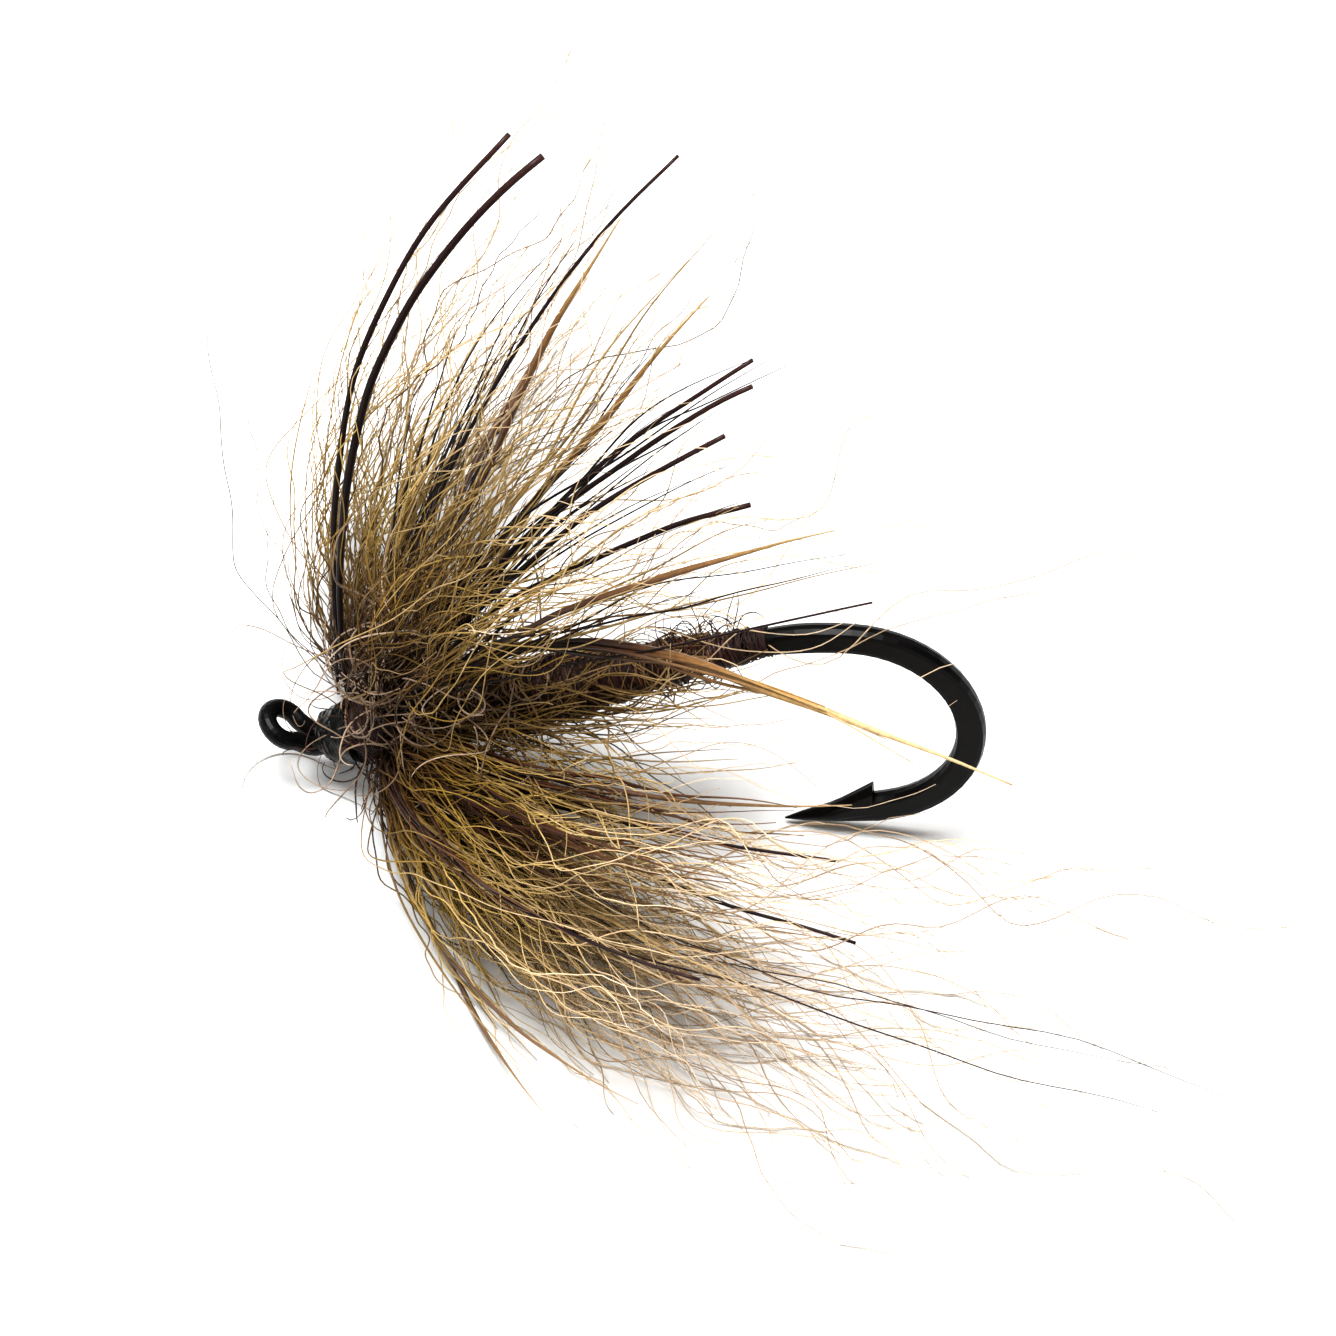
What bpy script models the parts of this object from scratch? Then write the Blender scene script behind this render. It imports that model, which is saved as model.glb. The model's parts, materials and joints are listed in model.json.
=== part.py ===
"""Dry fly: a hair-winged trout fly on an up-turned loop-eye hook, resting on a table.

Hook frame: the origin is where the shank leaves the head, +X runs back along the shank to the
bend, +Z points away from the hook point and +Y to the far side. The whole fly is then tipped
and leaned into the attitude it rests in, and placed with the middle of its footprint at the
world origin and its lowest point at z = 0.

A hair is laid out from the tie-in point at the middle of the thorax. "Around" is its angle
round the shank, from the top (0) towards the near side (90), and "lean" is its angle from the
rearward shank direction, so 90 stands straight out and less than 90 sweeps back to the bend.
"""
import math

import bmesh
import bpy
import numpy as np
from mathutils import Matrix, Vector

MM = 0.001
GAP = 0.015 * MM                    # clearance between neighbouring solids

# Resting attitude of the fly on the table
PITCH = math.radians(23.5)          # bend end of the shank is higher than the eye
ROLL = math.radians(16.7)           # hook point leans to the near side

# Hook wire
WIRE_RADIUS = 0.285 * MM
EYE_WIRE_RADIUS = 0.205 * MM
RETURN_END_RADIUS = 0.10 * MM
SHANK_LENGTH = 9.75 * MM
BEND_ARCS = ((6.0 * MM, 22.0), (2.55 * MM, 68.0), (2.45 * MM, 96.0))   # radius, degrees turned
POINT_LEG = 2.3 * MM                # straight part from the bend to the point
FORGED_HALF_THICKNESS = 0.20 * MM   # across the flats of the bend
FORGED_HALF_HEIGHT = 0.33 * MM      # in the plane of the bend
BARB_FROM_POINT = (1.05 * MM, 2.05 * MM)   # root and tip of the raised barb
BARB_HEIGHT = 0.38 * MM
BARB_LEAN = 0.4                     # how far its tip leans back over its height
WIRE_SIDES = 16

# Looped eye
EYE_TURN_UP = math.radians(54.0)
EYE_ROOT_X = -0.30 * MM
EYE_CENTRE_OUT = 0.74 * MM          # from the eye's root to the middle of its hole
EYE_LOOP_RADIUS = 0.43 * MM         # to the middle of the wire
EYE_LEG_Y = 0.235 * MM              # each leg of the loop, from the hook's plane
RETURN_END = (1.45 * MM, 0.41 * MM)  # x and y where the tapered wire end lies on the shank

# Thread and head
THREAD_RADIUS = 0.03 * MM
HEAD_BORE = 0.46 * MM
HEAD_BORE_Y = 0.02 * MM             # the bore is centred between shank and return wire
BUTTS_X = (-0.02 * MM, 0.66 * MM)   # cut hair ends under the head, a cone that opens rearward
BUTTS_RADII = (0.485 * MM, 0.54 * MM)
WHIP_X = (0.01 * MM, 0.16 * MM)     # first and last turn of each winding
HEAD_THREAD_X = (0.235 * MM, 0.385 * MM)
COLLAR_X = (0.47 * MM, 0.62 * MM)
CEMENT_X = (-0.06 * MM, 0.43 * MM)
CEMENT_WALL = 0.035 * MM

# Body
THORAX_CENTRE_X = 1.15 * MM
THORAX_RADIUS = 0.66 * MM
THORAX_BORE = 0.44 * MM
THORAX_BORE_Y = 0.08 * MM
THREAD_BASE_X = (1.86 * MM, 8.95 * MM)
THREAD_BASE_WALL = 0.045 * MM
ROPE_X = (2.35 * MM, 8.55 * MM)     # middle of the first and last turn of the dubbing rope
ROPE_TURNS = 8
REAR_WRAPS_X = (9.02 * MM, 9.54 * MM)
REAR_THREAD_RADIUS = 0.045 * MM

# Hair
HAIR_ROOT = 0.70 * MM               # hair starts this far from the tie-in point
LOCK_SPREAD = 0.08                 # a lock's radius over its distance from the tie-in point
LOCK_MAX_RADIUS = 0.46 * MM
TIE_IN = Vector((THORAX_CENTRE_X, 0.0, 0.0))

# name: (around at root, around at tip, lean at root, lean at tip, length in mm)
FAR_LOCKS = {
    "far_underfur_lock_1": (-64, -58, 113, 84, 9.5),
    "far_underfur_lock_2": (-64, -60, 99, 74, 10.5),
    "far_underfur_lock_3": (-64, -62, 86, 65, 10.5),
    "far_underfur_lock_4": (-84, -80, 106, 80, 9.0),
    "far_underfur_lock_5": (-84, -80, 91, 70, 9.5),
}
TOP_LOCKS = {
    "top_underfur_lock_1": (-22, -26, 68, 50, 8.6),
    "top_underfur_lock_2": (4, -4, 66, 44, 8.6),
    "top_underfur_lock_3": (30, 20, 64, 38, 8.0),
}
NEAR_LOCKS = {
    "near_underfur_lock_1": (84, 96, 54, 34, 9.0),
    "near_underfur_lock_2": (100, 114, 54, 38, 10.0),
    "near_underfur_lock_3": (102, 118, 70, 47, 10.2),
    "near_underfur_lock_4": (118, 130, 60, 52, 9.8),
    "near_underfur_lock_5": (119, 123, 84, 66, 9.0),
}
# A bristle is near black, even and cut blunt. A lance is widest past its middle and fine-tipped.
FAR_HAIRS = {
    "far_bristle_1": (-52, -51, 97, 69, 13.6),
    "far_bristle_2": (-42, -45, 92, 62, 13.4),
    "far_bristle_3": (-48, -52, 70, 51, 13.8),
    "far_lance_1": (-50, -46, 120, 84, 9.0),
    "far_lance_2": (-50, -48, 108, 76, 11.0),
    "far_lance_3": (-74, -70, 74, 62, 11.0),
    "far_prop_hair_1": (-98, -88, 84, 64, 9.5),
    "far_prop_hair_2": (-98, -86, 98, 80, 9.0),
}
TOP_HAIRS = {
    "top_bristle_1": (-22, -31, 42, 30, 12.0),
    "top_bristle_2": (-10, -18, 44, 28, 12.2),
    "top_bristle_3": (2, -6, 42, 28, 11.6),
    "top_bristle_4": (14, 6, 44, 22, 11.3),
    "top_bristle_5": (40, 44, 44, 12, 12.8),
    "top_lance_1": (-36, -42, 42, 38, 12.0),
    "top_lance_2": (-36, -40, 54, 50, 12.3),
    "top_lance_3": (27, 24, 44, 20, 13.4),
    "top_lance_4": (54, 88, 44, 15, 15.0),
}
NEAR_HAIRS = {
    "near_bristle_1": (94, 116, 40, 27, 11.5),
    "near_bristle_2": (112, 130, 42, 34, 12.0),
    "near_bristle_3": (90, 104, 72, 46, 11.0),
    "near_lance_1": (78, 104, 40, 22, 12.0),
    "near_lance_2": (106, 112, 88, 60, 11.5),
    "near_lance_3": (132, 122, 90, 72, 9.5),
    "near_lance_4": (132, 136, 62, 46, 11.0),
}


def material(name, colour, roughness, metallic=0.0):
    """Principled BSDF material with one colour."""
    mat = bpy.data.materials.new(name)
    mat.use_nodes = True
    shader = mat.node_tree.nodes["Principled BSDF"]
    shader.inputs["Base Color"].default_value = (*colour, 1.0)
    shader.inputs["Roughness"].default_value = roughness
    shader.inputs["Metallic"].default_value = metallic
    mat.diffuse_color = (*colour, 1.0)
    return mat


def empty(name, parent=None, location=(0.0, 0.0, 0.0)):
    """Empty that carries a body's pieces; a hinged body's empty sits on its hinge axis."""
    holder = bpy.data.objects.new(name, None)
    bpy.context.scene.collection.objects.link(holder)
    holder.parent = parent
    holder.location = location
    return holder


def add_object(name, bm, mat, parent):
    """Turns a bmesh into a smooth-shaded object and parents it."""
    bmesh.ops.recalc_face_normals(bm, faces=bm.faces)
    mesh = bpy.data.meshes.new(name)
    bm.to_mesh(mesh)
    bm.free()
    mesh.shade_smooth()
    mesh.set_sharp_from_angle(angle=math.radians(40))
    mesh.materials.append(mat)
    obj = bpy.data.objects.new(name, mesh)
    bpy.context.scene.collection.objects.link(obj)
    obj.parent = parent
    return obj


def skin_rings(bm, rings, closed=False):
    """Joins rings of points with quads, and caps both ends unless the rings close on themselves."""
    loops = [[bm.verts.new(point) for point in ring] for ring in rings]
    count = len(loops[0])
    pairs = list(zip(loops, loops[1:]))
    if closed:
        pairs.append((loops[-1], loops[0]))
    for low, high in pairs:
        for i in range(count):
            j = (i + 1) % count
            bm.faces.new((low[i], low[j], high[j], high[i]))
    if not closed:
        bm.faces.new(loops[0])
        bm.faces.new(loops[-1])


def smooth_path(points, spacing):
    """Catmull-Rom curve through the points, sampled at about the given spacing."""
    points = [np.array(p, dtype=float) for p in points]
    padded = [2 * points[0] - points[1]] + points + [2 * points[-1] - points[-2]]
    path = []
    for a, b, c, d in zip(padded, padded[1:], padded[2:], padded[3:]):
        steps = max(1, round(float(np.linalg.norm(c - b)) / spacing))
        for k in range(steps):
            t = k / steps
            path.append(0.5 * (2 * b + (c - a) * t + (2 * a - 5 * b + 4 * c - d) * t**2
                               + (3 * b - a - 3 * c + d) * t**3))
    path.append(points[-1])
    return path


def carried_frames(path, side):
    """Tangent, side and normal at each point of a path, with the side vector carried along it."""
    path = [Vector(p) for p in path]
    frames = []
    side = Vector(side)
    for i, point in enumerate(path):
        before = path[max(i - 1, 0)]
        after = path[min(i + 1, len(path) - 1)]
        tangent = (after - before).normalized()
        side = (side - tangent * side.dot(tangent)).normalized()
        frames.append((point, tangent, side, tangent.cross(side)))
    return frames


def round_tube(bm, path, radii, sides):
    """Closed tube of the given radii along a path."""
    start = Vector(path[1]) - Vector(path[0])
    rings = []
    for (point, _, side, normal), radius in zip(carried_frames(path, start.orthogonal()), radii):
        turns = [math.tau * k / sides for k in range(sides)]
        rings.append([point + radius * (math.cos(a) * side + math.sin(a) * normal) for a in turns])
    skin_rings(bm, rings)


# ---------------------------------------------------------------- hook

def bend_path():
    """Centre line from the shank's end round the bend to the point, in the hook's plane."""
    x, z, heading = SHANK_LENGTH, 0.0, 0.0
    path = []
    for radius, degrees in BEND_ARCS:
        steps = max(6, round(degrees / 7))
        for _ in range(steps):
            turned = heading + math.radians(degrees) / steps
            x += radius * (math.sin(turned) - math.sin(heading))
            z -= radius * (math.cos(heading) - math.cos(turned))
            heading = turned
            path.append((x, 0.0, z))
    end = Vector((math.cos(heading), 0.0, -math.sin(heading))) * POINT_LEG
    barb_root, barb_tip = BARB_FROM_POINT
    marks = (2.2 * MM, barb_tip, barb_tip - 0.03 * MM, barb_root, 0.75 * MM, 0.4 * MM, 0.0)
    path += [(x + end.x * (1 - m / POINT_LEG), 0.0, z + end.z * (1 - m / POINT_LEG)) for m in marks]
    return path


def eye_path():
    """Centre line from the shank through the looped eye to the tapered end of the wire."""
    up = Vector((-math.cos(EYE_TURN_UP), 0.0, math.sin(EYE_TURN_UP)))
    across = Vector((0.0, 1.0, 0.0))
    root = Vector((EYE_ROOT_X, 0.0, 0.0))
    centre = root + up * EYE_CENTRE_OUT
    loop = []
    for degrees in range(-135, 136, 27):
        turn = math.radians(degrees)
        loop.append(centre + EYE_LOOP_RADIUS * (math.cos(turn) * up + math.sin(turn) * across))
    leg = across * EYE_LEG_Y
    ahead = Vector((0.22 * MM, 0.0, 0.0))
    points = [(1.5 * MM, 0.0, 0.0), (0.8 * MM, -0.07 * MM, 0.0), root + ahead - leg * 0.93,
              root - leg + up * 0.06 * MM]
    points += loop
    points += [root + leg + up * 0.06 * MM, root + ahead + leg,
               (0.6 * MM, 0.31 * MM, 0.0), (RETURN_END[0], RETURN_END[1], 0.0)]
    return smooth_path(points, 0.13 * MM)


def build_hook(mat, parent):
    """One wire: point, barb, forged bend, shank, looped eye and the tapered end beside the shank."""
    planar = list(reversed(bend_path()))
    shank = [(SHANK_LENGTH * share, 0.0, 0.0) for share in (1.0, 0.8, 0.6, 0.4, 0.25)]
    eye = eye_path()
    path = [Vector(p) for p in planar + shank] + [Vector(p) for p in eye]
    travelled = [0.0]
    for before, after in zip(path, path[1:]):
        travelled.append(travelled[-1] + (after - before).length)
    bend_end = travelled[len(planar)]
    eye_start = travelled[len(planar) + len(shank)]
    total = travelled[-1]
    rings = []
    frames = carried_frames(path, (0.0, 1.0, 0.0))
    for (point, _, side, normal), distance in zip(frames, travelled):
        rings.append(wire_ring(point, side, normal, distance, bend_end, eye_start, total))
    bm = bmesh.new()
    skin_rings(bm, rings)
    return add_object("hook", bm, mat, parent)


def wire_ring(point, side, normal, distance, bend_end, eye_start, total):
    """One cross-section of the hook wire at a distance along it from the point."""
    taper = min(1.0, 0.06 + (distance / (2.0 * MM)) ** 0.8)
    forged = max(0.0, min(1.0, (bend_end - distance) / (1.2 * MM)))
    height = WIRE_RADIUS + forged * (FORGED_HALF_HEIGHT - WIRE_RADIUS)
    half_flat = WIRE_RADIUS + forged * (FORGED_HALF_THICKNESS - WIRE_RADIUS)
    if distance > eye_start:
        height = half_flat = eye_wire_radius(distance - eye_start, total - eye_start)
    barb_root, barb_tip = BARB_FROM_POINT
    barb = 0.0
    if barb_root < distance < barb_tip - 0.005 * MM:
        barb = BARB_HEIGHT * (distance - barb_root) / (barb_tip - barb_root)
    ring = []
    for k in range(WIRE_SIDES):
        turn = math.tau * (k + 0.5) / WIRE_SIDES
        across = math.sin(turn) * height * taper
        across = max(-half_flat, min(half_flat, across))
        raised = barb * max(0.0, math.cos(turn)) ** 3
        inward = math.cos(turn) * height * taper + raised
        ring.append(point + across * side + inward * normal + raised * BARB_LEAN * side.cross(normal))
    return ring


def eye_wire_radius(distance, length):
    """The wire thins into the eye, and its end tapers beside the shank."""
    share = distance / length
    thinned = WIRE_RADIUS + (EYE_WIRE_RADIUS - WIRE_RADIUS) * min(1.0, share / 0.28)
    if share > 0.72:
        thinned += (RETURN_END_RADIUS - EYE_WIRE_RADIUS) * (share - 0.72) / 0.28
    return thinned


# ---------------------------------------------------------------- thread, head and body

def revolved_section(name, outline, mat, parent, sides, centre_y):
    """Ring-shaped solid: a closed outline of (x, radius) points turned round the shank."""
    rings = []
    for k in range(sides):
        turn = math.tau * k / sides
        rings.append([(x, centre_y + r * math.cos(turn), r * math.sin(turn)) for x, r in outline])
    bm = bmesh.new()
    skin_rings(bm, rings, closed=True)
    return add_object(name, bm, mat, parent)


def turned_sleeve(name, stations, bore, mat, parent, sides=20, centre_y=0.0):
    """Sleeve round the shank: an outer profile of (x, radius) stations and a straight bore."""
    outline = list(stations) + [(stations[-1][0], bore), (stations[0][0], bore)]
    return revolved_section(name, outline, mat, parent, sides, centre_y)


def thread_coil(name, x_range, radii, thread, mat, parent, centre_y=0.0):
    """Turns of tying thread wound side by side round the shank."""
    length = x_range[1] - x_range[0]
    turns = max(2, int(length / (2 * thread + 0.9 * GAP)))
    steps = turns * 16
    path = []
    for k in range(steps + 1):
        share = k / steps
        radius = radii[0] + (radii[1] - radii[0]) * share
        turn = math.tau * turns * share
        path.append((x_range[0] + length * share,
                     centre_y + radius * math.cos(turn), radius * math.sin(turn)))
    bm = bmesh.new()
    round_tube(bm, path, [thread] * len(path), 6)
    return add_object(name, bm, mat, parent)


def abdomen_radius(x):
    """Outer radius of the dubbed abdomen: fullest behind the thorax, thin at the rear."""
    share = (x - ROPE_X[0]) / (ROPE_X[1] - ROPE_X[0])
    return (0.80 + 0.10 * math.sin(math.pi * min(1.0, share * 1.4)) - 0.33 * share) * MM


def build_abdomen(mat, parent):
    """A rope of dubbing wound round the shank; its section lies in a plane through the shank."""
    inner = WIRE_RADIUS + THREAD_BASE_WALL + 3 * GAP
    pitch = (ROPE_X[1] - ROPE_X[0]) / ROPE_TURNS
    steps = ROPE_TURNS * 20
    sides = 8
    rings = []
    for k in range(steps + 1):
        share = k / steps
        x = ROPE_X[0] + (ROPE_X[1] - ROPE_X[0]) * share
        ends = min(1.0, 0.25 + 1.5 * share * ROPE_TURNS, 0.25 + 1.5 * (1 - share) * ROPE_TURNS)
        half_radial = 0.5 * (abdomen_radius(x) - inner) * ends
        half_axial = (0.5 * pitch - 0.7 * GAP) * ends
        turn = math.tau * ROPE_TURNS * share
        outward = Vector((0.0, math.sin(turn), math.cos(turn)))
        centre = Vector((x, 0.0, 0.0)) + outward * (inner + half_radial)
        ring = []
        for j in range(sides):
            a = math.tau * (j + 0.5) / sides
            ring.append(centre + outward * half_radial * math.cos(a)
                        + Vector((half_axial * math.sin(a), 0.0, 0.0)))
        rings.append(ring)
    bm = bmesh.new()
    skin_rings(bm, rings)
    return add_object("abdomen_dubbing_rope", bm, mat, parent)


def build_thorax(mat, parent):
    """Ball of dubbing on the shank, centred on the tie-in point."""
    bore = THORAX_BORE
    reach = math.sqrt(THORAX_RADIUS**2 - (bore + THORAX_BORE_Y) ** 2) * 0.93
    stations = 9
    rings = []
    sides = 24
    for k in range(sides):
        turn = math.tau * k / sides
        out = Vector((0.0, math.cos(turn), math.sin(turn)))
        middle = Vector((0.0, THORAX_BORE_Y, 0.0))
        ring = []
        for i in range(stations):
            x = -reach + 2 * reach * i / (stations - 1)
            ball = math.sqrt(THORAX_RADIUS**2 - x**2)
            along = out.y * THORAX_BORE_Y
            radius = -along + math.sqrt(ball**2 - THORAX_BORE_Y**2 + along**2)
            ring.append(TIE_IN + middle + out * radius + Vector((x, 0.0, 0.0)))
        ring.append(TIE_IN + middle + out * bore + Vector((reach, 0.0, 0.0)))
        ring.append(TIE_IN + middle + out * bore + Vector((-reach, 0.0, 0.0)))
        rings.append(ring)
    bm = bmesh.new()
    skin_rings(bm, rings, closed=True)
    return add_object("thorax_dubbing_ball", bm, mat, parent)


def butts_radius(x):
    """Outer radius of the tied-down hair butts at a place along the shank."""
    share = (x - BUTTS_X[0]) / (BUTTS_X[1] - BUTTS_X[0])
    return BUTTS_RADII[0] + (BUTTS_RADII[1] - BUTTS_RADII[0]) * share


def build_head(thread_mat, butts_mat, parent):
    """Tied-down hair butts and the three windings of thread over them."""
    turned_sleeve("hair_butts", list(zip(BUTTS_X, BUTTS_RADII)), HEAD_BORE,
                  butts_mat, parent, sides=14, centre_y=HEAD_BORE_Y)
    for name, x_range in (("whip_finish", WHIP_X), ("head_thread", HEAD_THREAD_X),
                          ("collar_thread", COLLAR_X)):
        radii = [butts_radius(x + THREAD_RADIUS) + THREAD_RADIUS + GAP for x in x_range]
        thread_coil(name, x_range, radii, THREAD_RADIUS, thread_mat, parent, HEAD_BORE_Y)


def build_cement(mat, parent):
    """Open-ended varnish shell that follows the head's cone just outside the thread."""
    stations = 6
    inner = []
    outer = []
    for i in range(stations):
        share = i / (stations - 1)
        x = CEMENT_X[0] + (CEMENT_X[1] - CEMENT_X[0]) * share
        radius = butts_radius(x + THREAD_RADIUS) + 2 * THREAD_RADIUS + 2.5 * GAP
        inner.append((x, radius))
        outer.append((x, radius + CEMENT_WALL * (0.4 + 0.6 * math.sin(math.pi * share))))
    revolved_section("head_cement", outer + inner[::-1], mat, parent, 20, HEAD_BORE_Y)


# ---------------------------------------------------------------- hair

def hair_direction(around, lean):
    """Unit vector in the hook frame for a hair's two angles in degrees."""
    around, lean = math.radians(around), math.radians(lean)
    return Vector((math.cos(lean), -math.sin(lean) * math.sin(around),
                   math.sin(lean) * math.cos(around)))


def hair_path(angles, steps):
    """Curve from the thorax to the tip, measured from the tie-in point."""
    around_root, around_tip, lean_root, lean_tip, length = angles
    path = []
    for k in range(steps + 1):
        share = k / steps
        around = around_root + (around_tip - around_root) * share
        lean = lean_root + (lean_tip - lean_root) * share
        distance = HAIR_ROOT + (length * MM - HAIR_ROOT) * share
        path.append(hair_direction(around, lean) * distance)
    return path


def lock_radii(path):
    """A lock widens with distance from the tie-in point and closes to a wispy tip."""
    last = len(path) - 1
    radii = []
    for k, point in enumerate(path):
        share = k / last
        close = 1.0 - 0.8 * max(0.0, (share - 0.6) / 0.4) ** 1.5
        radii.append(min(LOCK_SPREAD * point.length, LOCK_MAX_RADIUS) * close)
    return radii


def bristle_radii(steps):
    """Dark guard hair: thin root, even length, blunt end."""
    return [(0.035 + 0.08 * min(1.0, 2.5 * k / steps)) * MM for k in range(steps + 1)]


def lance_radii(steps):
    """Guard hair that is widest at about two thirds and runs out to a fine tip."""
    radii = []
    for k in range(steps + 1):
        share = k / steps
        swell = math.exp(-((share - 0.62) / 0.24) ** 2)
        radii.append((0.035 + 0.075 * swell - 0.015 * share) * MM)
    return radii


def build_hairs(locks, hairs, lock_mat, bristle_mat, lance_mat, holder):
    """All hair of one bunch, in the frame of the bunch's hinge."""
    for name, angles in locks.items():
        path = hair_path(angles, 8)
        bm = bmesh.new()
        round_tube(bm, path, lock_radii(path), 8)
        add_object(name, bm, lock_mat, holder)
    for name, angles in hairs.items():
        path = hair_path(angles, 10)
        blunt = "bristle" in name
        bm = bmesh.new()
        round_tube(bm, path, bristle_radii(10) if blunt else lance_radii(10), 6)
        add_object(name, bm, bristle_mat if blunt else lance_mat, holder)


def build_rear_tuft(mat, parent):
    """Short fibres that stand up at the rear end of the dubbing rope."""
    path = [Vector((9.02, 0.0, 0.46)) * MM, Vector((9.10, -0.03, 0.75)) * MM,
            Vector((9.30, -0.02, 1.02)) * MM, Vector((9.62, 0.06, 1.20)) * MM]
    bm = bmesh.new()
    round_tube(bm, path, [0.05 * MM, 0.11 * MM, 0.10 * MM, 0.03 * MM], 6)
    return add_object("rear_fibre_tuft", bm, mat, parent)


# ---------------------------------------------------------------- assembly

def place_on_table(root):
    """Tips the fly into its resting attitude and centres its footprint on the world origin."""
    root.matrix_world = Matrix.Rotation(-PITCH, 4, "Y") @ Matrix.Rotation(-ROLL, 4, "X")
    bpy.context.view_layer.update()
    corners = [obj.matrix_world @ vertex.co
               for obj in bpy.data.objects if obj.type == "MESH" for vertex in obj.data.vertices]
    low = Vector([min(c[i] for c in corners) for i in range(3)])
    high = Vector([max(c[i] for c in corners) for i in range(3)])
    root.location = (-(low.x + high.x) / 2, -(low.y + high.y) / 2, -low.z)


def main():
    for obj in list(bpy.data.objects):
        bpy.data.objects.remove(obj, do_unlink=True)
    steel = material("black_hook_steel", (0.012, 0.012, 0.014), 0.22, 0.9)
    thread = material("black_thread", (0.03, 0.018, 0.014), 0.5)
    red_thread = material("dark_red_thread", (0.06, 0.016, 0.012), 0.45)
    cement = material("black_head_cement", (0.012, 0.014, 0.012), 0.12)
    dubbing = material("brown_dubbing", (0.07, 0.035, 0.022), 0.9)
    thorax = material("tan_brown_dubbing", (0.20, 0.12, 0.06), 0.9)
    underfur = material("tan_underfur", (0.30, 0.20, 0.09), 0.7)
    bristle = material("black_guard_hair", (0.018, 0.012, 0.010), 0.35)
    lance = material("copper_guard_hair", (0.16, 0.075, 0.03), 0.4)

    root = empty("fly")
    build_hook(steel, root)
    base = [(THREAD_BASE_X[0], WIRE_RADIUS + THREAD_BASE_WALL),
            (THREAD_BASE_X[1], WIRE_RADIUS + THREAD_BASE_WALL)]
    turned_sleeve("thread_base", base, WIRE_RADIUS + GAP, thread, root)
    build_abdomen(dubbing, root)
    build_rear_tuft(dubbing, root)
    wrap_radius = WIRE_RADIUS + REAR_THREAD_RADIUS + GAP
    thread_coil("rear_thread_wraps", REAR_WRAPS_X, (wrap_radius, wrap_radius),
                REAR_THREAD_RADIUS, red_thread, root)
    build_thorax(thorax, root)
    build_head(thread, underfur, root)
    build_cement(cement, root)
    for name, locks, hairs in (("far_wing", FAR_LOCKS, FAR_HAIRS),
                               ("top_wing", TOP_LOCKS, TOP_HAIRS),
                               ("near_wing", NEAR_LOCKS, NEAR_HAIRS)):
        holder = empty(name + "_hinge", root, TIE_IN)
        build_hairs(locks, hairs, underfur, bristle, lance, holder)
    place_on_table(root)


main()
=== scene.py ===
import json
import math

import bpy
import numpy as np
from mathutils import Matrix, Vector


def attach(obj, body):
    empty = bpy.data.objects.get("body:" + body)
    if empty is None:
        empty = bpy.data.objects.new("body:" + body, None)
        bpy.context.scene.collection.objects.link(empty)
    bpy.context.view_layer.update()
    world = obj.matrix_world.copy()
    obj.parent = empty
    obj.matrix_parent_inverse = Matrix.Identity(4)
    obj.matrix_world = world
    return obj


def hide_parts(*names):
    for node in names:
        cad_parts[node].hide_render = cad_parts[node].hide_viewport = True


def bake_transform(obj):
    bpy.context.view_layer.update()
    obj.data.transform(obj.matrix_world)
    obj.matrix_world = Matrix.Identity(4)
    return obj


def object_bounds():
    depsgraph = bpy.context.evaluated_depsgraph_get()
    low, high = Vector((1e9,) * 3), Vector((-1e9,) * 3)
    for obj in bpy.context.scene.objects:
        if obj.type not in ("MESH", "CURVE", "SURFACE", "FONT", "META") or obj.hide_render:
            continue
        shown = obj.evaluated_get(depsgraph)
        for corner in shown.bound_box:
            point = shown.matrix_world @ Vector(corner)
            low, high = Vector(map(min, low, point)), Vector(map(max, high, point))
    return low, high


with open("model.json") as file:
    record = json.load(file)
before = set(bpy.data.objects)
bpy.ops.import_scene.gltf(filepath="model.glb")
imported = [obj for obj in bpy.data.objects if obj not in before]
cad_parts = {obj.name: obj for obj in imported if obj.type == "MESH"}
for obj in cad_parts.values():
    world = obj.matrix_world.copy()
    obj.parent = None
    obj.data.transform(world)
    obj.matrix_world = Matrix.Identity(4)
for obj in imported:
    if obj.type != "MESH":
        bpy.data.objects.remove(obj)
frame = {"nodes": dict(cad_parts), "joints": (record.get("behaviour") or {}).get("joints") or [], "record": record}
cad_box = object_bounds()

# A hair-winged dry fly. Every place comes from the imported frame: the tie-in point is the hinge of
# the hair bunches, and each bunch of fine hair grows round the centre lines of its CAD locks.
# Lengths are in metres; MM is one millimetre.

MM = 0.001
SEED = 11
joints = {joint["name"]: joint for joint in frame["joints"]}
mounts = {mount["name"]: mount for mount in frame["record"]["mounts"]}

TIE_IN = np.array(joints["top_wing_lift"]["pos_m"])
ACROSS = np.array(mounts["bend_flat_far"]["axis"])            # out of the hook's plane, far side
ACROSS /= np.linalg.norm(ACROSS)
REARWARD = np.cross(ACROSS, (0.0, 1.0, 0.0))                  # along the shank to the bend
REARWARD /= np.linalg.norm(REARWARD)
TOPWARD = np.cross(REARWARD, ACROSS)                          # away from the hook point
ROOT = "hook_and_body"


def hook_frame(points):
    """Points given along the shank, across and up from the tie-in point, in world metres."""
    points = np.asarray(points, float)
    axes = np.stack([REARWARD, ACROSS, TOPWARD])
    return TIE_IN + points @ axes


def along_shank(node):
    """Nearest and farthest place of a CAD node along the shank, from the tie-in point."""
    corners = np.array([v.co for v in frame["nodes"][node].data.vertices]) - TIE_IN
    places = corners @ REARWARD
    return places.min(), places.max()


# ------------------------------------------------------------------ hair geometry

def centre_line(node, steps):
    """Middle points of a CAD hair's rings, which are evenly spaced in distance from the tie-in."""
    points = np.array([v.co for v in frame["nodes"][node].data.vertices]) - TIE_IN
    away = np.linalg.norm(points, axis=1)
    ring = np.rint((away - away.min()) / np.ptp(away) * steps).astype(int)
    return np.array([points[ring == k].mean(axis=0) for k in range(steps + 1)]) + TIE_IN


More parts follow.
